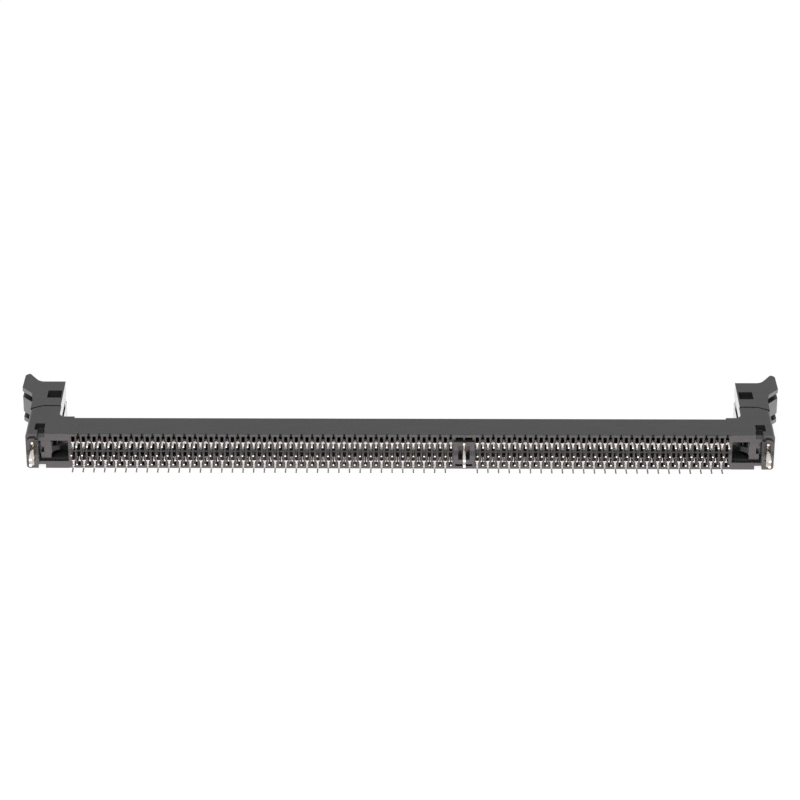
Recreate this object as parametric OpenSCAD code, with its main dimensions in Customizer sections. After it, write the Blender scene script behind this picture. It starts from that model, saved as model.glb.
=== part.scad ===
// Card edge socket for a memory module, soldered through a board.
// X runs along the socket, Y across it, Z up from the board that it stands on.

/* [Contact field] */
// Distance between neighbouring contacts
pitch = 1.0; // [0.95:0.05:1.2]
// Contacts on each side of the long bank
long_bank = 72; // [60:6:84]
// Contacts on each side of the short bank
short_bank = 48; // [36:6:60]
// Distance across the key, from the last long-bank contact to the first short-bank contact
key_gap = 5.0; // [4.8:0.1:7]
// Contacts pressed in together as one group
group_size = 6; // [6:1:12]

/* [Module] */
// Thickness of the module
card_t = 1.27; // [1.0:0.01:1.4]
// Length of the module past its end contact
card_past = 5.175; // [4.9:0.005:5.4]
// Gap between the module and each wall of the slot
card_clear = 0.1; // [0.05:0.01:0.15]
// Height of the middle of the module's side notch above its lower edge
notch_h = 17.3; // [17:0.1:17.8]
// Distance of the middle of that notch's round end from the module's end
notch_past = 1.2; // [1.1:0.05:1.3]
// Gap between the module's end and the end of the slot
card_end_gap = 0.1; // [0.05:0.05:0.2]

/* [Housing] */
// Width of the housing
body_w = 7.3; // [7.1:0.1:8]
// Height of the body above its underside
body_h = 6.5; // [6.2:0.1:7]
// Height of the feet that hold the underside off the board
standoff = 0.5; // [0.45:0.05:0.8]
// Height of the slot's floor above the underside
slot_floor = 2.1; // [1.9:0.1:2.3]
// Bevel along the long edges of the body
edge_bevel = 0.08; // [0.05:0.01:0.2]
// Lead-in bevel at the mouth of the slot
lead_in = 0.45; // [0.2:0.05:0.6]
// Width of the key rib
key_rib_w = 1.2; // [0.8:0.1:1.4]

/* [Feet] */
// Gap between an end's foot pad and the bay inside it
foot_gap = 0.05; // [0.03:0.01:0.1]
// Inset of an end's foot pad from the end of the housing
foot_end_inset = 0.2; // [0.1:0.05:0.3]
// Inset of an end's foot pad from each side of the housing
foot_side_inset = 0.75; // [0.6:0.05:0.8]
// Radius of a foot pad's outer corners
foot_corner = 0.9; // [0.5:0.1:1.0]
// Step in from the wide part of a foot pad to its inner part
foot_step = 0.3; // [0.1:0.05:0.5]
// Length of the wide part on the inside of the hold-down
foot_wide = 0.5; // [0.3:0.05:0.7]
// Inset of the key's foot pad from the contacts beside it
key_pad_inset = 0.5; // [0.4:0.05:0.7]
// Inset of the key's foot pad from each side of the housing
key_pad_side = 1.3; // [1.1:0.05:1.4]
// Length of the row of pockets on each side of the key's foot pad
key_bar_len = 3.2; // [2.8:0.1:3.4]
// Gap between those pockets and the line of the cavities' outer walls
key_bar_gap = 0.05; // [0.03:0.01:0.1]
// Depth of those pockets
key_bar_deep = 2.0; // [1.2:0.1:2.4]
// Width of the post between two of those pockets
key_post = 0.35; // [0.25:0.05:0.5]

/* [Towers] */
// Distance from the end contact to the tower
tower_gap = 3.1; // [2.9:0.1:3.3]
// Length of a tower
tower_len = 5.8; // [5.7:0.1:6.6]
// Height of a tower above the underside
tower_h = 11.2; // [10.5:0.1:12.5]
// Length of the level part of a tower's top
tower_flat = 3.5; // [3.2:0.1:3.9]
// Drop of the sloping part of a tower's top
tower_drop = 1.3; // [0.8:0.1:1.6]
// Radius between a tower and the body
corner_r = 1.2; // [0.6:0.1:1.6]
// Rise of the body next to a tower
step_h = 0.5; // [0.2:0.1:0.8]
// Length of that rise, from the tower
step_len = 2.9; // [2.4:0.1:3.2]
// Distance from the end contact to the bay under the module's corner
bay_past = 0.95; // [0.7:0.05:1.1]
// Length of the floor under each end, which carries the hold-down
end_floor = 2.4; // [2.35:0.05:2.55]
// Width of the mouth of that bay, in the underside
bay_mouth_w = 4.4; // [4.1:0.1:4.6]
// Depth of that mouth
bay_mouth_h = 1.0; // [0.6:0.1:1.1]
// Radius of the upright corners at the ends of the housing
end_corner = 0.6; // [0.3:0.1:0.8]

/* [Pivot pockets] */
// Length of the pocket outside a pivot pin
pocket_len = 1.85; // [1.8:0.05:2.2]
// Height of that pocket below the pivot
pocket_below = 1.6; // [1.4:0.1:1.9]
// Height of that pocket above the pivot
pocket_above = 1.0; // [0.9:0.05:1.3]
// Depth of that pocket
pocket_deep = 1.15; // [1.05:0.05:1.25]
// Length of the channel from that pocket to the underside
channel_len = 1.4; // [1.2:0.1:1.6]
// Distance of the channel's middle from the pivot, inwards
channel_shift = 0.4; // [0.3:0.05:0.5]
// Depth of the channel
channel_deep = 0.8; // [0.7:0.05:1.1]

/* [Cavities] */
// Width of a contact cavity
cavity_w = 0.62; // [0.5:0.02:0.7]
// Half width of the rib between the two rows of cavities
rib_half = 0.15; // [0.1:0.05:0.5]
// Wall between a cavity and the side face
side_band = 0.55; // [0.4:0.05:0.65]
// Depth of the outer part of a cavity
pocket_depth = 1.3; // [1:0.1:1.6]
// Roof of a cavity below the top of the body
cavity_roof = 0.8; // [0.6:0.1:1]
// Height of the notch beside an outer tail
vent_h = 0.3; // [0.2:0.1:0.9]
// Width of that notch at the underside
vent_w = 0.4; // [0.2:0.05:0.5]
// Room outside a contact's shoulder, above the outer part of the cavity
shoulder_room = 0.4; // [0.3:0.05:0.5]

/* [Contacts] */
// Thickness of the contact strip
strip_t = 0.2; // [0.15:0.01:0.25]
// Width of the contact strip
strip_w = 0.36; // [0.25:0.01:0.45]
// Gap on each side of a contact's spring in its cavity
spring_gap = 0.02; // [0.02:0.01:0.08]
// Distance of a contact's shoulder from the middle of the slot
shoulder_y = 1.9; // [1.8:0.05:2]
// Height of a contact's shoulder
shoulder_h = 1.2; // [0.8:0.1:1.4]
// Drop of a contact's shoulders below the underside
shoulder_drop = 0.22; // [0.1:0.02:0.26]
// Distance between neighbouring rows of tails
row_pitch = 1.865; // [1.8:0.005:1.9]
// Length of a tail below the board's face
tail_len = 3.1; // [2.5:0.1:4]
// Width of a tail
tail_w = 0.25; // [0.2:0.01:0.3]
// Length of the strip's full width below the bend of a tail
tail_root = 0.15; // [0.1:0.05:0.3]
// Reach of a contact into the module's space
preload = 0.11; // [0.05:0.01:0.15]
// Height of a contact's bend above the slot's floor
bend_h = 2.3; // [2:0.1:2.6]
// Gap between a contact's upper end and the roof of its cavity
tip_clear = 0.3; // [0.2:0.05:0.4]
// Slant of a contact's upper end, away from the module
tip_slant = 0.55; // [0.4:0.05:0.7]
// Height of the spring's root above the slot's floor
spring_root = 0.5; // [0.4:0.05:0.6]
// Lean of the spring over its shoulder
spring_lean = 0.12; // [0.05:0.01:0.15]
// Height of the strip's upright part above the shoulder
shoulder_neck = 0.3; // [0.25:0.05:0.4]
// Height of the strip's lower bend above the lower edge of the shoulders
bend_low = 0.02; // [0.01:0.01:0.05]
// Height of the tail's bend above the board's face
jog_rise = 0.1; // [0.05:0.05:0.2]

/* [Hold-downs] */
// Thickness of a hold-down
lock_t = 0.4; // [0.3:0.05:0.5]
// Width of a hold-down's plate
lock_w = 4.1; // [3.9:0.1:4.3]
// Height of a hold-down's plate
lock_h = 1.7; // [1.4:0.1:1.9]
// Width of the ear at each end of a hold-down's plate
ear_w = 0.4; // [0.3:0.05:0.5]
// Depth of the notch between an ear and the prong beside it
ear_notch = 1.2; // [0.8:0.05:1.3]
// Length of the prongs below the board's face
prong_len = 4.2; // [3.6:0.1:4.6]
// Distance of a prong's middle from the middle of the plate
prong_y = 0.57; // [0.5:0.01:0.7]
// Width of a prong at its root
prong_root = 0.9; // [0.7:0.05:0.95]
// Width of a prong at its tip
prong_tip = 0.4; // [0.3:0.05:0.5]
// Swell of an end's prongs towards the middle of the socket, which grips their hole
end_swell = 0.44; // [0.2:0.02:0.5]
// Swell of any other side of a prong
side_swell = 0.06; // [0.02:0.02:0.2]
// Place of that swell along the prong, as a share of its length
swell_place = 0.82; // [0.6:0.02:0.9]
// Gap over a hold-down's plate in its slot
lock_clear = 0.05; // [0.03:0.01:0.1]
// Width of the pocket around an end's hold-down
lock_pocket_w = 0.95; // [0.8:0.05:1.1]
// Length of that pocket
lock_pocket_len = 3.2; // [3:0.1:3.4]
// Depth of that pocket
lock_pocket_h = 0.5; // [0.3:0.05:0.6]
// Width of the pocket around the key's hold-down
key_pocket_w = 2.16; // [1.9:0.02:2.3]
// Length of that pocket
key_pocket_len = 2.86; // [2.6:0.02:3]
// Depth of that pocket above the underside
key_pocket_h = 1.4; // [1:0.1:1.5]

/* [Latches] */
// Distance from the end contact to the pivot
pivot_past = 6.4; // [6.3:0.05:6.5]
// Height of the pivot above the underside
pivot_h = 3.2; // [3.1:0.05:3.3]
// Radius of the pivot pins
pivot_r = 0.8; // [0.7:0.05:0.85]
// Running gap around the pivot pins
pivot_clear = 0.05; // [0.03:0.01:0.08]
// Width of the latch between the tower walls
stem_w = 3.76; // [3.5:0.02:3.8]
// Gap between the latch and each tower wall
stem_clear = 0.12; // [0.1:0.01:0.2]
// Gap between the tower's top and the latch's head
head_gap = 0.55; // [0.45:0.01:0.6]
// Height of the latch's head above the tower
head_h = 10.4; // [9.5:0.1:11]
// Rise of the thumb tab above the head
tab_rise = 3.4; // [2.5:0.1:4]
// Reach of the thumb tab past the end of the housing
tab_reach = 2.45; // [2:0.05:3]
// Depth of the grooves in the thumb tab
groove_depth = 0.8; // [0.5:0.1:1]
// Depth of the finger grooves in the tab's lower face
groove_deep = 1.5; // [1:0.1:1.6]
// Thickness of the toe that lifts the module
toe_t = 1.3; // [1:0.05:1.4]
// Width of that toe at its tip
toe_w = 1.0; // [0.8:0.1:1.2]
// Radius of the curves that widen the toe towards its root
toe_curve = 0.8; // [0.5:0.1:0.9]
// Reach of the toe from the pivot
toe_reach = 3.75; // [3.6:0.05:4]
// Angle that a latch opens
opening_angle = 32; // [28:1:34]
// Gap between the module's end and the latch
card_latch_gap = 0.3; // [0.25:0.05:0.4]
// Inset of the latch's stem from the end of the housing
stem_inset = 0.35; // [0.2:0.05:0.5]
// Room behind the stem
stem_back = 0.2; // [0.15:0.05:0.3]
// Wall of the latch's hub around its pins
hub_wall = 0.7; // [0.55:0.05:0.75]
// Gap between the hub and the floor under it
hub_clear = 0.2; // [0.15:0.05:0.3]
// Gap between a pin's end and the face of the pocket outside it
pin_clear = 0.08; // [0.05:0.01:0.1]
// Gap between the toe and the module's lower edge
toe_clear = 0.1; // [0.05:0.05:0.2]
// Gap over the toe when the latch is open
toe_roof_clear = 0.15; // [0.1:0.05:0.3]
// Length of the bevel under the toe's tip
toe_bevel_len = 1.5; // [1.1:0.1:1.6]
// Height of that bevel
toe_bevel_h = 0.9; // [0.5:0.05:0.95]
// Reach of the latch's foot from the pivot
foot_reach = 2.15; // [2.1:0.05:2.3]
// Gap between the latch's foot and the end of the bay
foot_clear = 0.35; // [0.3:0.05:0.5]
// Height of the latch's foot above its toe
foot_rise = 0.4; // [0.2:0.1:0.6]
// Width of the notch in the foot's outer edge
foot_notch_w = 1.3; // [1.0:0.1:1.5]
// Length of that notch
foot_notch_len = 0.6; // [0.4:0.1:0.8]

/* [Latch heads] */
// Inset of a head from each side of the housing
head_inset = 0.05; // [0.03:0.01:0.1]
// Distance of the head's inner edge behind the tower's inner face
head_back = 0.15; // [0.05:0.05:0.3]
// Height of the thumb tab's root above the tower
tab_bend_h = 5.2; // [4.9:0.1:5.5]
// Distance from the thumb tab's upper root to the end of the housing
tab_root = 0.65; // [0.5:0.05:0.8]
// Width of the thumb tab's rim
rim_w = 0.8; // [0.7:0.05:1]
// Slope of that rim
rim_slope = 0.7; // [0.5:0.1:0.9]
// Lean of the thumb tab's outer face
tab_lean = 0.1; // [0.05:0.05:0.2]
// Depth of the outer face's lower edge below the top of the head
tab_low = 2.5; // [2.2:0.1:2.8]
// Distance of the thumb tab's lower root past the end of the housing
tab_under_out = 0.4; // [0.2:0.05:0.6]
// Height of that root above the tab's bend
tab_under_rise = 0.3; // [0.1:0.05:0.5]
// Length of the end face's slope under the thumb tab
tab_fair = 2.0; // [1.6:0.1:2.4]
// Half width of the rib between the finger grooves
groove_rib = 1.6; // [1.4:0.1:1.8]
// Width of the rim outside each finger groove
groove_rim = 0.85; // [0.7:0.05:1]
// Distance from the tower's inner face to the window in the side of the head
window_in = 0.42; // [0.3:0.02:0.6]
// Length of that window
window_len = 2.7; // [2.5:0.1:2.9]
// Height of that window above the tower
window_rise = 3.6; // [3.3:0.1:3.9]
// Height of that window
window_h = 3.0; // [2.7:0.1:3.3]
// Depth of that window
window_deep = 1.6; // [1:0.1:1.8]
// Gap between the head's cheeks and the slot's width
cheek_clear = 0.02; // [0.01:0.01:0.05]
// Radius of the hook that sits in the module's notch
hook_r = 1.1; // [1:0.05:1.2]
// Gap between the hook and the module's faces
hook_clear = 0.1; // [0.05:0.05:0.2]

/* [Hidden] */
$fn = 48;
eps = 0.05;
cut_over = 1.0;
long_count = round(long_bank);
short_count = round(short_bank);
contact_count = long_count + short_count;
contact_span = (contact_count - 2) * pitch + key_gap;
key_x = (long_count - short_count) * pitch / 2;
first_x = -contact_span / 2;
end_x = contact_span / 2;

// Height of the board's face, seen from the underside of the body
board = -standoff;
half_w = body_w / 2;
slot_half = card_t / 2 + card_clear;
card_end = end_x + card_past;
tower_in = end_x + tower_gap;
body_end = tower_in + tower_len;
tower_flat_end = tower_in + tower_flat;
pivot_x = end_x + pivot_past;

// The latch's slot through a tower and the bay under the module's corner
stem_half = stem_w / 2;
bay_half = stem_half + stem_clear;
stem_in = card_end + card_latch_gap;
stem_out = body_end - stem_inset;
stem_slot_in = stem_in - stem_back;
bay_in = end_x + bay_past;
bay_out = body_end - end_floor;
hub_r = pivot_r + hub_wall;
hub_low = pivot_h - hub_r;
end_wall_h = hub_low - hub_clear;

// The toe lies under the module's edge and stops below the bay's roof when the latch is open
toe_top = slot_floor - toe_clear;
toe_rise = toe_reach * sin(opening_angle) - (pivot_h - toe_top) * cos(opening_angle);
bay_roof = pivot_h + toe_rise + toe_roof_clear;

// Pocket outside the pivot pin, and the channel from it down to the underside
pocket_in = pivot_x - pocket_len / 2;
pocket_out = pivot_x + pocket_len / 2;
pocket_low = pivot_h - pocket_below;
pocket_high = pivot_h + pocket_above;
channel_in = pivot_x - channel_shift - channel_len / 2;
channel_out = pivot_x - channel_shift + channel_len / 2;
bore_out = half_w - pocket_deep;
pin_out = bore_out - pin_clear;

// Foot pads under the ends and the key
foot_in = bay_out + foot_gap;
foot_out = body_end - foot_end_inset;
foot_half = half_w - foot_side_inset;
lock_x = (foot_in + foot_out) / 2;
lock_slot_h = lock_h + lock_clear;
key_pad_half_x = key_gap / 2 - key_pad_inset;
key_pad_half_y = half_w - key_pad_side;
key_bar_in = key_pad_half_y;
key_bar_out = half_w - side_band - key_bar_gap;
key_hole_len = (key_bar_len - key_post) / 2;

// Contact cavities
cavity_out = half_w - side_band;
spring_out = shoulder_y + shoulder_room;
spring_w = cavity_w - 2 * spring_gap;
cavity_top = body_h - cavity_roof;
inner_row = row_pitch / 2;
outer_row = 3 * row_pitch / 2;
touch_y = card_t / 2 - preload + strip_t / 2;
bend_z = slot_floor + bend_h;
tip_z = cavity_top - tip_clear;
jog_z = board + jog_rise;
tail_end = board - tail_len;

// Latch head
head_low = tower_h + head_gap;
head_top = tower_h + head_h;
head_half = half_w - head_inset;
head_in = tower_in + head_back;
tab_tip = body_end + tab_reach;
tab_top = head_top + tab_rise;
tab_bend = tower_h + tab_bend_h;
face_low = head_top - tab_low;
under_x = body_end + tab_under_out;
under_z = tab_bend + tab_under_rise;
window_x = tower_in + window_in;
window_low = tower_h + window_rise;
cheek_in = slot_half + cheek_clear;
hook_half = card_t / 2 - hook_clear;
hook_x = card_end - notch_past;
hook_z = slot_floor + notch_h;
groove_out = head_half - groove_rim;
foot_block_in = pivot_x - foot_reach;
foot_block_out = bay_out - foot_clear;
foot_block_low = toe_top - toe_t;
foot_block_top = toe_top + foot_rise;
toe_tip = pivot_x - toe_reach;
toe_low = foot_block_low;

// Groups of contacts along one side, each starting a new node
bank_starts = concat(
    [for (i = [0 : group_size : long_count - 1]) [i, min(i + group_size, long_count)]],
    [for (i = [long_count : group_size : contact_count - 1]) [i, min(i + group_size, contact_count)]]
);
sides = [["front", -1], ["back", 1]];
function group_name(side, i) = str(side[0], "_contacts_", i < 9 ? "0" : "", i + 1);

// Place of a contact along the socket
function contact_x(i) = first_x + i * pitch + (i < long_count ? 0 : key_gap - pitch);

// Odd places, counted from one, bend towards +Y and even places towards -Y
function bends_to_plus_y(i) = i % 2 == 0;
function tail_row(i, s) = (s > 0) == bends_to_plus_y(i) ? outer_row : inner_row;

// Unit vector along a line, and the same turned a quarter to the left
function unit(v) = v / norm(v);
function left_of(v) = [-v[1], v[0]];

// Sideways step at point i of a path, mitred where the path bends
function mitre(path, i) =
    let (
        last = len(path) - 1,
        before = left_of(unit(path[max(i, 1)] - path[max(i, 1) - 1])),
        after = left_of(unit(path[min(i, last - 1) + 1] - path[min(i, last - 1)]))
    )
    (before + after) / (1 + before * after);

// Outline of a strip of thickness t along a path
function strip_outline(path, t) = concat(
    [for (i = [0 : len(path) - 1]) path[i] + mitre(path, i) * t / 2],
    [for (i = [len(path) - 1 : -1 : 0]) path[i] - mitre(path, i) * t / 2]
);

// Extrudes a shape drawn in Y and Z along X, centred on x
module along_x(x, length) {
    translate([x - length / 2, 0, 0])
        rotate([90, 0, 90])
            linear_extrude(length)
                children();
}

// Extrudes a shape drawn in X and Z across Y, between two places
module across_y(from, to) {
    translate([0, to, 0])
        rotate([90, 0, 0])
            linear_extrude(to - from)
                children();
}

// A box between two corners
module block(low, high) {
    translate(low)
        cube(high - low);
}

// The right-hand end and its mirror image
module both_ends() {
    children();
    mirror([1, 0, 0])
        children();
}

// The back half and its mirror image
module both_sides() {
    children();
    mirror([0, 1, 0])
        children();
}

// Section of the body with bevelled long edges
module body_section() {
    polygon([
        [-half_w + edge_bevel, 0],
        [half_w - edge_bevel, 0],
        [half_w, edge_bevel],
        [half_w, body_h - edge_bevel],
        [half_w - edge_bevel, body_h],
        [-half_w + edge_bevel, body_h],
        [-half_w, body_h - edge_bevel],
        [-half_w, edge_bevel]
    ]);
}

// Side view of a tower, its raised root and the round corner to the body
module tower_side() {
    difference() {
        polygon([
            [tower_in - step_len, body_h - step_h],
            [tower_in - step_len, body_h + step_h],
            [tower_in - corner_r, body_h + step_h],
            [tower_in, body_h + step_h + corner_r],
            [tower_in, tower_h],
            [tower_flat_end, tower_h],
            [body_end, tower_h - tower_drop],
            [body_end, 0],
            [bay_in, 0],
            [bay_in, body_h - step_h]
        ]);
        translate([tower_in - corner_r, body_h + step_h + corner_r])
            circle(corner_r);
    }
}

// Plan of the foot pad under one end
module end_foot_plan() {
    translate([foot_in, -foot_half + foot_step])
        square([lock_x - foot_in, 2 * (foot_half - foot_step)]);
    translate([lock_x - foot_wide, -foot_half + foot_corner])
        square([foot_out - lock_x + foot_wide, 2 * (foot_half - foot_corner)]);
    for (y = [-1, 1])
        translate([foot_out - foot_corner, y * (foot_half - foot_corner)])
            circle(foot_corner);
    translate([lock_x - foot_wide, -foot_half])
        square([foot_out - foot_corner - lock_x + foot_wide, 2 * foot_half]);
}

// The moulded body before anything is cut out of it
module housing_blank() {
    along_x(0, 2 * body_end)
        body_section();
    both_ends() {
        across_y(-half_w, half_w)
            tower_side();
        translate([0, 0, board])
            linear_extrude(standoff + eps)
                end_foot_plan();
    }
    block([key_x - key_pad_half_x, -key_pad_half_y, board], [key_x + key_pad_half_x, key_pad_half_y, eps]);
}

// What is cut off to round one upright corner at an end
module corner_cut() {
    corner_x = body_end - end_corner;
    corner_y = half_w - end_corner;
    difference() {
        block([corner_x, corner_y, board - eps], [body_end + eps, half_w + eps, tower_h + eps]);
        translate([corner_x, corner_y, board - 2 * eps])
            cylinder(r = end_corner, h = tower_h - board + 4 * eps);
    }
}

// The slot for the module, with a lead-in along the body
module card_slot() {
    slot_end = card_end + card_end_gap;
    block([-slot_end, -slot_half, slot_floor], [slot_end, slot_half, tower_h + eps]);
    along_x(0, 2 * tower_in)
        polygon([
            [-slot_half, body_h - lead_in],
            [-slot_half - lead_in - eps, body_h + eps],
            [slot_half + lead_in + eps, body_h + eps],
            [slot_half, body_h - lead_in]
        ]);
    both_ends()
        linear_extrude(tower_h + eps)
            translate([tower_in, 0])
                polygon([
                    [lead_in, -slot_half],
                    [-eps, -slot_half - lead_in - eps],
                    [-eps, slot_half + lead_in + eps],
                    [lead_in, slot_half]
                ]);
}

// Section of a contact's cavity on the back side
module cavity_section() {
    polygon([
        [rib_half, -eps],
        [cavity_out, -eps],
        [cavity_out, pocket_depth],
        [spring_out, pocket_depth],
        [spring_out, cavity_top],
        [rib_half, cavity_top]
    ]);
}

// All cavities, and the notches beside the outer tails
module contact_cavities() {
    for (i = [0 : contact_count - 1]) {
        for (s = [-1, 1])
            along_x(contact_x(i), cavity_w)
                scale_y(s)
                    cavity_section();
        translate([contact_x(i), 0, 0])
            across_y(
                bends_to_plus_y(i) ? cavity_out - eps : -half_w - eps,
                bends_to_plus_y(i) ? half_w + eps : -cavity_out + eps
            )
                polygon([[-vent_w / 2, -eps], [vent_w / 2, -eps], [0, vent_h]]);
    }
}

// Turns a section over to the front side when s is -1
module scale_y(s) {
    mirror([s < 0 ? 1 : 0, 0, 0])
        children();
}

// Room for a latch: its slot in the tower, the bay for its toe, pivot bores, pockets and channels
module latch_room() {
    block([stem_slot_in, -bay_half, end_wall_h], [body_end + eps, bay_half, tower_h + eps]);
    block([bay_in, -bay_half, -eps], [bay_out, bay_half, bay_roof]);
    block([bay_in, -bay_mouth_w / 2, -eps], [bay_out, bay_mouth_w / 2, bay_mouth_h]);
    translate([pivot_x, -bore_out - eps, pivot_h])
        rotate([-90, 0, 0])
            cylinder(r = pivot_r + pivot_clear, h = 2 * (bore_out + eps));
    both_sides() {
        block([pocket_in, bore_out, pocket_low], [pocket_out, half_w + eps, pocket_high]);
        block([channel_in, half_w - channel_deep, -eps], [channel_out, half_w + eps, pocket_low + eps]);
    }
}

// Slot and pocket for a hold-down, seen from the board's face
module hold_down_seat(x, pocket_w, pocket_len, pocket_h) {
    translate([x, 0, 0]) {
        block([-lock_t / 2, -lock_w / 2, board - eps], [lock_t / 2, lock_w / 2, board + lock_slot_h]);
        block(
            [-pocket_w / 2, -pocket_len / 2, board - eps],
            [pocket_w / 2, pocket_len / 2, board + pocket_h]
        );
    }
}

// Moulded housing of black plastic
module housing() {
    color([0.1, 0.1, 0.105])
        translate([0, 0, standoff]) {
            difference() {
                housing_blank();
                card_slot();
                contact_cavities();
                both_ends() {
                    latch_room();
                    hold_down_seat(lock_x, lock_pocket_w, lock_pocket_len, lock_pocket_h);
                    both_sides()
                        corner_cut();
                }
                hold_down_seat(key_x, key_pocket_w, key_pocket_len, key_pocket_h + standoff);
                both_sides()
                    for (side = [-1, 1])
                        translate([key_x + side * (key_post + key_hole_len) / 2, 0, 0])
                            block(
                                [-key_hole_len / 2, key_bar_in, -eps],
                                [key_hole_len / 2, key_bar_out, key_bar_deep]
                            );
            }
            block(
                [key_x - key_rib_w / 2, -slot_half - eps, slot_floor - eps],
                [key_x + key_rib_w / 2, slot_half + eps, body_h - lead_in]
            );
        }
}

// Side view of the latch's head with its thumb tab
module head_side() {
    polygon([
        [head_in, head_top],
        [body_end - tab_root, head_top],
        [tab_tip - tab_lean - rim_w, tab_top],
        [tab_tip - tab_lean, tab_top - rim_slope],
        [tab_tip, face_low],
        [under_x, under_z],
        [body_end, tab_bend - tab_fair],
        [body_end, head_low - tower_drop],
        [tower_flat_end, head_low],
        [head_in, head_low]
    ]);
}

// What the finger grooves cut away from the outer face of the thumb tab
module groove_side() {
    polygon([
        [tab_tip - tab_lean - groove_depth, tab_top + cut_over],
        [tab_tip - groove_deep, face_low + groove_deep / 2],
        [under_x - groove_deep, under_z + groove_deep / 2],
        [under_x, tab_bend - cut_over],
        [tab_tip + cut_over, tab_bend - cut_over],
        [tab_tip + cut_over, tab_top + cut_over]
    ]);
}

// Side view of the latch between the tower walls, with its foot
module stem_side() {
    polygon([
        [stem_in, head_low + cut_over],
        [stem_out, head_low + cut_over],
        [stem_out, pivot_h],
        [pivot_x + hub_r, pivot_h],
        [pivot_x, hub_low],
        [foot_block_out, hub_low],
        [foot_block_out, foot_block_low],
        [foot_block_in, foot_block_low],
        [foot_block_in, foot_block_top],
        [stem_in, pivot_h]
    ]);
    translate([pivot_x, pivot_h])
        circle(hub_r);
}

// Side view of the toe
module toe_side() {
    polygon([
        [toe_tip, toe_top],
        [foot_block_in + eps, toe_top],
        [foot_block_in + eps, toe_low],
        [toe_tip + toe_bevel_len, toe_low],
        [toe_tip, toe_low + toe_bevel_h]
    ]);
}

// Plan of the toe, which widens in two curves towards the foot
module toe_plan() {
    root_half = toe_w / 2 + toe_curve;
    difference() {
        translate([toe_tip, -root_half])
            square([toe_reach, 2 * root_half]);
        for (side = [-1, 1]) {
            translate([foot_block_in - toe_curve, side * root_half])
                circle(toe_curve);
            translate([toe_tip - eps, side * root_half - toe_curve])
                square([foot_block_in - toe_curve - toe_tip + eps, 2 * toe_curve]);
        }
    }
}

// Right-hand latch, drawn upright and closed
module latch_solid() {
    difference() {
        union() {
            across_y(-head_half, head_half)
                head_side();
            across_y(-stem_half, stem_half)
                stem_side();
            intersection() {
                across_y(-stem_half, stem_half)
                    toe_side();
                linear_extrude(pivot_h)
                    toe_plan();
            }
            translate([pivot_x, -pin_out, pivot_h])
                rotate([-90, 0, 0])
                    cylinder(r = pivot_r, h = 2 * pin_out);
        }
        block([tower_in - cut_over, -cheek_in, head_low - eps], [stem_in, cheek_in, head_top + eps]);
        both_sides() {
            block(
                [window_x, head_half - window_deep, window_low],
                [window_x + window_len, head_half + eps, window_low + window_h]
            );
            across_y(groove_rib, groove_out)
                groove_side();
        }
        block(
            [foot_block_out - foot_notch_len, -foot_notch_w / 2, foot_block_low - eps],
            [foot_block_out + eps, foot_notch_w / 2, hub_low]
        );
    }
    intersection() {
        across_y(-hook_half, hook_half) {
            translate([hook_x, hook_z])
                circle(hook_r);
            translate([hook_x, hook_z - hook_r])
                square([stem_in - hook_x + eps, 2 * hook_r]);
        }
        block([head_in, -hook_half, head_low], [stem_in + eps, hook_half, head_top]);
    }
}

// Moulded latch of black plastic at the short bank's end
module right_latch() {
    color([0.13, 0.13, 0.135])
        translate([0, 0, standoff])
            latch_solid();
}

// The same moulding at the long bank's end
module left_latch() {
    color([0.13, 0.13, 0.135])
        translate([0, 0, standoff])
            mirror([1, 0, 0])
                latch_solid();
}

// Stamped hold-down: a plate in the housing with two ears, and two prongs that grip the board
module hold_down(x, left_swell, right_swell) {
    prong_in = prong_y - prong_root / 2;
    prong_out = prong_y + prong_root / 2;
    half_outline = [
        [0, ear_notch],
        [prong_in, ear_notch],
        [prong_in, 0],
        [prong_y - prong_tip / 2, -prong_len],
        [prong_y + prong_tip / 2, -prong_len],
        [prong_out, 0],
        [prong_out, ear_notch],
        [lock_w / 2 - ear_w, ear_notch],
        [lock_w / 2 - ear_w, 0],
        [lock_w / 2, 0],
        [lock_w / 2, lock_h],
        [0, lock_h]
    ];
    edge_x = lock_t / 2;
    swell_z = -prong_len * swell_place;
    color([0.78, 0.77, 0.74])
        translate([x, 0, 0])
            intersection() {
                both_sides()
                    along_x(0, lock_t + 2 * max(left_swell, right_swell))
                        polygon(half_outline);
                across_y(-lock_w / 2, lock_w / 2)
                    polygon([
                        [-edge_x, lock_h],
                        [-edge_x, 0],
                        [-edge_x - left_swell, swell_z],
                        [-edge_x, -prong_len],
                        [edge_x, -prong_len],
                        [edge_x + right_swell, swell_z],
                        [edge_x, 0],
                        [edge_x, lock_h]
                    ]);
            }
}

module left_hold_down() {
    hold_down(-lock_x, side_swell, end_swell);
}

module key_hold_down() {
    hold_down(key_x, side_swell, side_swell);
}

module right_hold_down() {
    hold_down(lock_x, end_swell, side_swell);
}

// Side view of the spring of a contact on the back side
module spring_side() {
    path = [
        [touch_y + tip_slant, tip_z],
        [touch_y, bend_z],
        [shoulder_y - spring_lean, slot_floor + spring_root],
        [shoulder_y, shoulder_h + shoulder_neck],
        [shoulder_y, shoulder_h / 2]
    ];
    polygon(strip_outline(path, strip_t));
}

// Side view of that contact below its shoulder: the bend and the root of its tail
module bend_side(row) {
    path = [
        [shoulder_y, shoulder_h / 2],
        [shoulder_y, bend_low - shoulder_drop],
        [row, jog_z],
        [row, jog_z - tail_root]
    ];
    polygon(strip_outline(path, strip_t));
}

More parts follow.
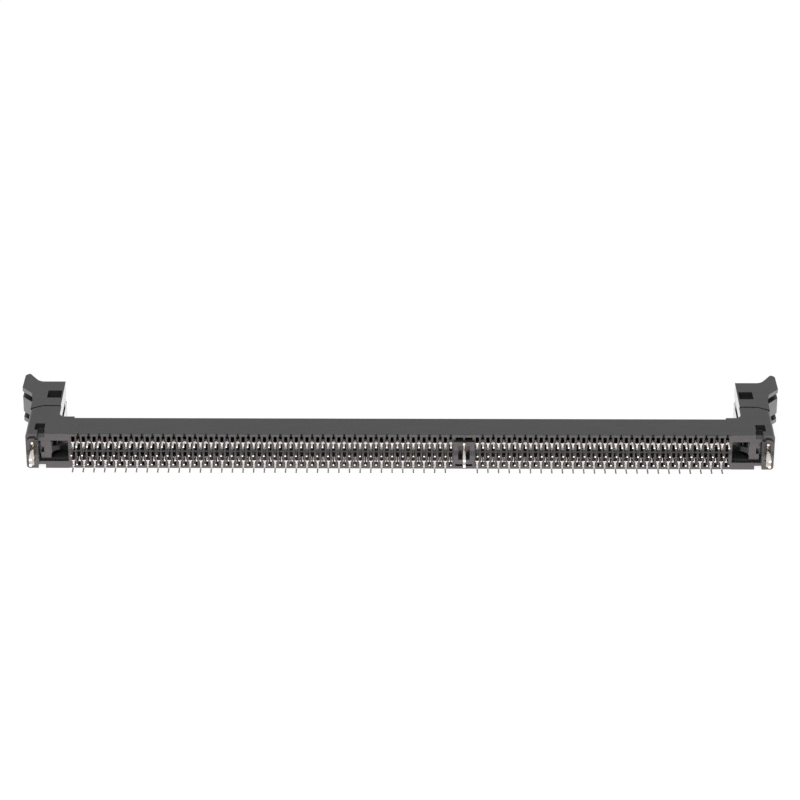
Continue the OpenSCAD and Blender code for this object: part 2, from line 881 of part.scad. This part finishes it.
// One stamped contact at place i on side s
module contact(i, s) {
    row = tail_row(i, s);
    along_x(contact_x(i), spring_w)
        scale_y(s)
            spring_side();
    along_x(contact_x(i), strip_w)
        scale_y(s)
            bend_side(row);
    translate([contact_x(i), 0, 0]) {
        block(
            [-cavity_w / 2, s * shoulder_y - strip_t / 2, -shoulder_drop],
            [cavity_w / 2, s * shoulder_y + strip_t / 2, shoulder_h]
        );
        block(
            [-tail_w / 2, s * row - strip_t / 2, tail_end],
            [tail_w / 2, s * row + strip_t / 2, jog_z - tail_root / 2]
        );
    }
}

// A run of tinned spring contacts on one side
module contact_group(run, s) {
    color([0.85, 0.82, 0.74])
        translate([0, 0, standoff])
            for (i = [run[0] : run[1] - 1])
                contact(i, s);
}

housing();
left_latch();
right_latch();
left_hold_down();
key_hold_down();
right_hold_down();
for (side = sides)
    for (i = [0 : len(bank_starts) - 1])
        contact_group(bank_starts[i], side[1]);
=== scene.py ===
import math

import bmesh
import bpy
from mathutils import Matrix, Vector


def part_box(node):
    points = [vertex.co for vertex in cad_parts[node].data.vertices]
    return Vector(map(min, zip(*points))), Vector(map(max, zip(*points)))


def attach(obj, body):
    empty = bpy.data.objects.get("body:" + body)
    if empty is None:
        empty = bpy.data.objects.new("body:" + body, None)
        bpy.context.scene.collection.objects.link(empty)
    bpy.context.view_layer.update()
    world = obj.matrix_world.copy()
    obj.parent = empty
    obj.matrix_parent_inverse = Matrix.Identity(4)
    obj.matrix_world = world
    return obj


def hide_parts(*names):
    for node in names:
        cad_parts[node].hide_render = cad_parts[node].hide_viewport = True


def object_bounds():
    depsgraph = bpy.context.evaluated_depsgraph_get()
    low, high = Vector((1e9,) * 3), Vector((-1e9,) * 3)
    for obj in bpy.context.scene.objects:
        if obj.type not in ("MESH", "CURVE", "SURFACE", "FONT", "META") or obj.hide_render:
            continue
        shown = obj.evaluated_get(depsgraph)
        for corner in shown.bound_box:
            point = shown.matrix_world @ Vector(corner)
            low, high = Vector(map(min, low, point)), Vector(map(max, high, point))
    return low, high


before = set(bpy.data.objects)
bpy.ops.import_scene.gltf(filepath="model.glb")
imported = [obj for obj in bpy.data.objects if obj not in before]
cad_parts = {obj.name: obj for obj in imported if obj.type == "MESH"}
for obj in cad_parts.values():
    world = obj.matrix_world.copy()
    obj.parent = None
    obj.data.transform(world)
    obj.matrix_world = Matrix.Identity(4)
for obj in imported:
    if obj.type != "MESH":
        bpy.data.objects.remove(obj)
cad_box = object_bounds()


# Housing
# One long moulding of glass-filled black plastic, with towers at its ends and a slot for the module.
# Its tool was spark eroded, so the faces have a fine dull grain, and the sharp edges are a little worn; their
# paler colour is partly wear and partly a painted highlight.
millimetre = 0.001


class Shade:
    """A socket of a node tree: operators add Math nodes to it, and make adds any other node."""

    def __init__(self, tree, socket=None):
        self.tree = tree
        self.socket = socket

    def make(self, kind, settings=None, sockets=None, output=0):
        """Add a node: its settings are set first, then the values or links of its sockets."""
        made = self.tree.nodes.new("ShaderNode" + kind)
        for name, value in (settings or {}).items():
            setattr(made, name, value)
        for name, value in (sockets or {}).items():
            if isinstance(value, Shade):
                self.tree.links.new(value.socket, made.inputs[name])
            else:
                made.inputs[name].default_value = value
        return Shade(self.tree, made.outputs[output] if made.outputs else None)

    def sum_up(self, operation, *values):
        return self.make("Math", {"operation": operation}, dict(enumerate(values)))

    def __add__(self, other):
        return self.sum_up("ADD", self, other)

    def __radd__(self, other):
        return self.sum_up("ADD", other, self)

    def __sub__(self, other):
        return self.sum_up("SUBTRACT", self, other)

    def __rsub__(self, other):
        return self.sum_up("SUBTRACT", other, self)

    def __mul__(self, other):
        return self.sum_up("MULTIPLY", self, other)

    def __rmul__(self, other):
        return self.sum_up("MULTIPLY", other, self)

    def __abs__(self):
        return self.sum_up("ABSOLUTE", self)

    def axis(self, letter):
        """The part of a vector along X, Y or Z."""
        return self.make("SeparateXYZ", {}, {"Vector": self}, letter)

    def between(self, low, high):
        """0 below low, 1 above high, and a smooth rise from one to the other."""
        ease = {"interpolation_type": "SMOOTHSTEP"}
        return self.make("MapRange", ease, {"Value": self, "From Min": low, "From Max": high})

    def tint(self, low, high):
        """One colour where the value is 0, the other where it is 1."""
        return self.make("Mix", {"data_type": "RGBA"}, {0: self, 6: low, 7: high}, 2)


def new_finish(name):
    """An empty material, and a Shade that adds nodes to it."""
    finish = bpy.data.materials.new(name)
    finish.use_nodes = True
    finish.node_tree.nodes.clear()
    return finish, Shade(finish.node_tree)


def coat(shade, sockets):
    """Close a material with its surface shader."""
    surface = shade.make("BsdfPrincipled", {}, sockets)
    shade.make("OutputMaterial", {}, {"Surface": surface})


def speckle(shade, place, size, detail=2.0):
    """Soft noise from 0 to 1 whose spots are about this wide, in metres."""
    sockets = {"Vector": place, "Scale": 1 / size, "Detail": detail, "Roughness": 0.55}
    return shade.make("TexNoise", {}, sockets)


def rounded_edge(shade, radius):
    """The direction that a face would have if its edges were round."""
    return shade.make("Bevel", {"samples": 6}, {"Radius": radius})


def edge_wear_and_glint(shade, radius):
    """1 on sharp outer edges and corners, 0 on flat faces."""
    flat = shade.make("NewGeometry", output="Normal")
    sockets = {0: flat, 1: rounded_edge(shade, radius)}
    likeness = shade.make("VectorMath", {"operation": "DOT_PRODUCT"}, sockets, "Value")
    return (1 - likeness).between(0.02, 0.25)


flow_stretch = (0.2, 1.0, 1.0)
flow_size = 1.1 * millimetre
fleck_size = 0.09 * millimetre
fleck_share = 0.35
grain_size = 0.07 * millimetre
grain_depth = 0.003 * millimetre
blotch_size = 0.5 * millimetre
wear_glint_radius = 0.09 * millimetre
wear_glint_share = 0.8
edge_radius = 0.07 * millimetre
flank_reach = (62.0 * millimetre, 63.0 * millimetre)
flank_foot = (7.0 * millimetre, 7.2 * millimetre)
flank_roughness = 0.08
web_half = (0.5 * millimetre, 0.55 * millimetre)
web_height = (0.8 * millimetre, 0.9 * millimetre)


def moulded_plastic(name, deep, pale, fleck_wear_glint, dullness):
    """Black moulding: mottled by the flow of the melt, flecked with glass, grained, and paler on its edges,
    partly as wear and partly as a painted highlight.

    The flanks that the module slides past are polished, and the web between the cavities is rough.
    """
    finish, shade = new_finish(name)
    place = shade.make("TexCoord", output="Object")
    along_flow = shade.make("VectorMath", {"operation": "MULTIPLY"}, {0: place, 1: flow_stretch})
    flow = speckle(shade, along_flow, flow_size, 4.0)
    fleck = speckle(shade, place, fleck_size).between(0.62, 0.78)
    grain = speckle(shade, place, grain_size, 3.0)
    blotch = speckle(shade, place, blotch_size, 3.0)
    # Blotches of paler colour on the sharp edges: partly wear, partly a painted highlight.
    rubbed_and_glinting = edge_wear_and_glint(shade, wear_glint_radius) * blotch.between(0.3, 0.7)
    body = flow.between(0.3, 0.7).tint(deep, pale)
    body = (fleck * fleck_share).tint(body, fleck_wear_glint)
    body = (rubbed_and_glinting * wear_glint_share).tint(body, fleck_wear_glint)
    face = shade.make("TexCoord", output="Normal")
    inward = 0 - place.axis("X") * face.axis("X")
    polished = inward.between(*flank_reach) * place.axis("Z").between(*flank_foot)
    web = 1 - abs(place.axis("Y")).between(*web_half)
    web = web * (1 - place.axis("Z").between(*web_height))
    dull = dullness + 0.2 * (blotch - 0.5) - 0.06 * rubbed_and_glinting + 0.25 * web
    relief = shade.make("Bump", {}, {
        "Strength": 0.4,
        "Distance": grain_depth,
        "Height": grain,
        "Normal": rounded_edge(shade, edge_radius),
    })
    coat(shade, {
        "Base Color": body,
        "Roughness": dull * (1 - polished) + flank_roughness * polished,
        "Specular IOR Level": 0.305,
        "Coat Weight": polished,
        "Coat Roughness": 0.04,
        "Normal": relief,
    })
    return finish


def dress(piece, finish):
    """Give a piece its finish."""
    piece.data.materials.clear()
    piece.data.materials.append(finish)


# The pale colour is that of the glass flecks and of the edges, whose paleness is partly wear and partly a
# painted highlight.
housing_black = moulded_plastic(
    "housing_black",
    deep=(0.026, 0.026, 0.0275, 1),
    pale=(0.033, 0.033, 0.0345, 1),
    fleck_wear_glint=(0.13, 0.13, 0.134, 1),
    dullness=0.28,
)
dress(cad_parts["housing"], housing_black)


# Latches
# Two levers of the same black plastic, moulded apart from the housing and snapped onto its pivot bores.
# The thumb tab has two finger grooves, a round rim and a round root; the latch's edges are paler, partly as
# wear and partly as a painted highlight.
# Its pale edge colour is partly wear and partly a painted highlight.
latch_black = moulded_plastic(
    "latch_black",
    deep=(0.028, 0.028, 0.0295, 1),
    pale=(0.036, 0.036, 0.0375, 1),
    fleck_wear_glint=(0.15, 0.15, 0.154, 1),
    dullness=0.26,
)

tab_rim = 1.0 * millimetre
tab_rise = 3.4 * millimetre
rim_ease = 0.38 * millimetre
root_ease = 0.9 * millimetre
weld_gap = 0.0005 * millimetre
flat_angle = math.radians(0.5)
corner_angle = math.radians(15)


def eased_latch(name):
    """A copy of a latch whose thumb tab has its round rim and its round root."""
    shape = bmesh.new()
    shape.from_mesh(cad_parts[name].data)
    bmesh.ops.remove_doubles(shape, verts=shape.verts, dist=weld_gap)
    bmesh.ops.dissolve_limit(shape, angle_limit=flat_angle, verts=shape.verts, edges=shape.edges)
    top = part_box(name)[1].z
    for depth, radius, outward in ((tab_rim, rim_ease, True), (tab_rise + tab_rim, root_ease, False)):
        across = [
            edge for edge in shape.edges
            if min(corner.co.z for corner in edge.verts) > top - depth
            and abs(edge.verts[0].co.y - edge.verts[1].co.y) > 0.99 * edge.calc_length()
            and edge.calc_face_angle(0) > corner_angle
            and edge.is_convex == outward
        ]
        bmesh.ops.bevel(shape, geom=across, offset=radius, segments=6, profile=0.5, affect="EDGES")
    mesh = bpy.data.meshes.new(name + "_eased")
    shape.to_mesh(mesh)
    shape.free()
    piece = bpy.data.objects.new(name + "_eased", mesh)
    bpy.context.scene.collection.objects.link(piece)
    return piece


for name in ("left_latch", "right_latch"):
    piece = eased_latch(name)
    dress(piece, latch_black)
    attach(piece, name)
    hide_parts(name)


# Hold-downs
# Forked locks stamped from brass strip and tinned all over, pressed into slots under the ends and the key.
# The prongs spring into holes in the board and hold the socket down while it is soldered.
strip_stretch = (1.0, 1.0, 0.15)
streak_size = 0.05 * millimetre
streak_depth = 0.0015 * millimetre
cloud_size = 0.45 * millimetre
cut_share = 0.85
solder_line = (-1.7 * millimetre, -1.1 * millimetre)
shoulder_line = (-1.0 * millimetre, -0.8 * millimetre)


def tinned_metal(name, bright, dull, cut, dullness, patches=()):
    """Tinned strip: bright on its rolled faces, with streaks, and darker on its sheared edges.

    Each patch has a function that says where it lies, its colour, and how much duller the metal is there.
    """
    finish, shade = new_finish(name)
    place = shade.make("TexCoord", output="Object")
    along_strip = shade.make("VectorMath", {"operation": "MULTIPLY"}, {0: place, 1: strip_stretch})
    streak = speckle(shade, along_strip, streak_size, 3.0)
    cloud = speckle(shade, place, cloud_size, 3.0)
    face = shade.make("TexCoord", output="Normal")
    height = place.axis("Z")
    cut_across = abs(face.axis("Z")).between(0.9, 0.97)
    soldered = (1 - height.between(*solder_line)) * (1 - cut_across)
    sheared = abs(face.axis("X")).between(0.55, 0.8)
    sheared = sheared + cut_across * (0.7 + 0.3 * height.between(*shoulder_line))
    body = cloud.between(0.35, 0.7).tint(bright, dull)
    body = (sheared * cut_share).tint(body, cut)
    rough = dullness + 0.08 * streak + 0.2 * sheared + 0.4 * soldered
    for lies, colour, duller in patches:
        patch = lies(place, face)
        body = patch.tint(body, colour)
        rough = rough + duller * patch
    relief = shade.make("Bump", {}, {"Strength": 0.2, "Distance": streak_depth, "Height": streak})
    coat(shade, {
        "Base Color": body,
        "Metallic": 1.0,
        "Roughness": rough,
        "Normal": relief,
    })
    return finish


hold_down_tin = tinned_metal(
    "hold_down_tin",
    bright=(0.86, 0.85, 0.82, 1),
    dull=(0.70, 0.68, 0.63, 1),
    cut=(0.55, 0.50, 0.42, 1),
    dullness=0.16,
)
for name in ("left_hold_down", "key_hold_down", "right_hold_down"):
    dress(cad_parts[name], hold_down_tin)


# Contacts
# 240 springs stamped from phosphor bronze strip, tinned on their tails and gilded where they meet the module.
# They are pressed up into the cavities from below, and their tails are bent to four staggered rows.
# The springs' bronze is painted darker than bare bronze, as painted shade inside the cavities.
bronze_and_cavity_shade = (0.19, 0.165, 0.13, 1)
gold = (0.44, 0.33, 0.16, 1)
# Painted shade colour for the roots of the front outer tails.
painted_root_shade = (0.13, 0.11, 0.085, 1)
# Painted shade colour for the two inner rows of tails.
painted_tail_shade = (0.10, 0.095, 0.09, 1)
tin_top = (0.7 * millimetre, 1.0 * millimetre)
gold_foot = (4.4 * millimetre, 4.6 * millimetre)
outer_row = (2.2 * millimetre, 2.4 * millimetre)
root_foot = (-1.1 * millimetre, -0.9 * millimetre)
inner_front = (-1.5 * millimetre, -1.3 * millimetre)
inner_back = (1.6 * millimetre, 1.75 * millimetre)
tail_shade_top = (0.3 * millimetre, 0.5 * millimetre)
tail_shade_share = 0.95


def bare_spring_in_shade(place, face):
    """The spring inside the housing, which the tin doesn't reach: bare bronze, painted darker as shade inside
    the cavities.
    """
    return place.axis("Z").between(*tin_top)


def gilded_tip(place, face):
    """The upright faces of the bend that touches the module."""
    return place.axis("Z").between(*gold_foot) * abs(face.axis("Y")).between(0.75, 0.85)


def root_shade_mask(place, face):
    """Painted shade on the tails of the front outer row close to the housing."""
    return (0 - place.axis("Y")).between(*outer_row) * place.axis("Z").between(*root_foot)


def inner_tail_shade(place, face):
    """Painted shade on the two inner rows of tails, down to their cut ends, which stay bright."""
    across = place.axis("Y")
    inner = across.between(*inner_front) - across.between(*inner_back)
    below = 1 - place.axis("Z").between(*tail_shade_top)
    end = (0 - face.axis("Z")).between(0.9, 0.97)
    return inner * below * (1 - end) * tail_shade_share


contact_tin = tinned_metal(
    "contact_tin",
    bright=(0.78, 0.765, 0.74, 1),
    dull=(0.58, 0.55, 0.50, 1),
    cut=(0.32, 0.31, 0.305, 1),
    dullness=0.08,
    patches=(
        # Bare bronze springs, darkened as painted shade inside the cavities.
        (bare_spring_in_shade, bronze_and_cavity_shade, 0.1),
        (gilded_tip, gold, 0),
        # Painted shade on the roots of the front outer tails.
        (root_shade_mask, painted_root_shade, 0.1),
        # Painted shade on the two inner rows of tails.
        (inner_tail_shade, painted_tail_shade, 0.25),
    ),
)
for name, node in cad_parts.items():
    if "_contacts_" in name:
        dress(node, contact_tin)


# Studio
# A plain white table under the socket, which lies on its side, and soft lamps in front, low and at both ends.
# The table and the surroundings are white to the camera and in reflections, and the table keeps the shadow.
white = (1, 1, 1, 1)
paper_white = (0.9, 0.9, 0.9, 1)
paper_glow = 1.15
glow_share = 0.8
table_reach = 3.0
table_gap = 0.02 * millimetre
table_y = cad_box[1][1] + table_gap
table_corners = ((-1, -1), (1, -1), (1, 1), (-1, 1))
table_mesh = bpy.data.meshes.new("table")
table_mesh.from_pydata(
    [(x * table_reach, table_y, z * table_reach) for x, z in table_corners], [], [(0, 1, 2, 3)]
)
table = bpy.data.objects.new("table", table_mesh)
bpy.context.scene.collection.objects.link(table)
table_white, shade = new_finish("table_white")
seen = shade.make("LightPath", output="Is Camera Ray")
behind = shade.make("NewGeometry", output="Backfacing")
lit = shade.make("BsdfDiffuse", {}, {"Color": paper_white})
glow = shade.make("Emission", {}, {"Color": white, "Strength": paper_glow})
paper = shade.make("MixShader", {}, {0: glow_share, 1: lit, 2: glow})
clear = shade.make("BsdfTransparent")
top_only = shade.make("MixShader", {}, {0: seen * (1 - behind), 1: clear, 2: paper})
shade.make("OutputMaterial", {}, {"Surface": top_only})
table_mesh.materials.append(table_white)

surroundings = bpy.data.worlds.new("surroundings")
surroundings.use_nodes = True
surroundings.node_tree.nodes.clear()
shade = Shade(surroundings.node_tree)
seen = shade.make("LightPath", output="Is Camera Ray")
seen = seen + shade.make("LightPath", output="Is Glossy Ray")
seen = seen + shade.make("LightPath", output="Is Transmission Ray")
shown = shade.make("Clamp", {}, {"Value": seen})
heading = shade.make("TexCoord", output="Generated").axis("Z")
level = 0.22 + 0.25 * (0 - heading).between(-0.9, 0.6)
sky = shade.make("Background", {}, {"Color": white, "Strength": shown + (1 - shown) * level})
shade.make("OutputWorld", {}, {"Surface": sky})
bpy.context.scene.world = surroundings

lamp_size = 0.5
neutral = (1, 1, 1)
rosy = (1.0, 0.89, 0.905)


def soft_lamp(name, place, power, colour):
    """A square lamp that faces the socket."""
    lamp = bpy.data.lights.new(name, "AREA")
    lamp.size = lamp_size
    lamp.energy = power
    lamp.color = colour
    holder = bpy.data.objects.new(name, lamp)
    holder.location = place
    holder.rotation_euler = (-Vector(place)).to_track_quat("-Z", "Y").to_euler()
    bpy.context.scene.collection.objects.link(holder)


soft_lamp("front_lamp", (-0.1, -0.55, -0.45), 2.1, neutral)
soft_lamp("low_lamp", (0.0, 0.28, -0.55), 3.3, rosy)
soft_lamp("left_lamp", (-0.62, 0.33, 0.0), 2.1, neutral)
soft_lamp("right_lamp", (0.62, 0.33, 0.0), 2.5, neutral)


# Camera
# It looks down on the socket's underside from in front, so the tails point towards it.
# Its distance and focal length give the photograph's perspective in an image of 800 by 800.
pitch = math.radians(27.5)
roll = math.radians(0.14)
sensor_mm = 36
image_px = 800
focal_px = 3266
aim = Vector((-0.05, -1.9, 0.5)) * millimetre
reach = 613.7 * millimetre
lift = 8.05 * millimetre
ahead = Vector((0, math.sin(pitch), math.cos(pitch)))
upright = Vector((0, -math.cos(pitch), math.sin(pitch)))
sideways = Vector((1, 0, 0))
tilted_right = sideways * math.cos(roll) + upright * math.sin(roll)
tilted_up = upright * math.cos(roll) - sideways * math.sin(roll)
lens = bpy.data.cameras.new("camera")
lens.sensor_width = sensor_mm
lens.lens = sensor_mm * focal_px / image_px
lens.clip_start = 0.01
camera = bpy.data.objects.new("camera", lens)
turn = Matrix((tilted_right, tilted_up, -ahead)).transposed().to_4x4()
camera.matrix_world = Matrix.Translation(aim - ahead * reach + upright * lift) @ turn
bpy.context.scene.collection.objects.link(camera)
bpy.context.scene.camera = camera
bpy.context.scene.view_settings.view_transform = "Standard"
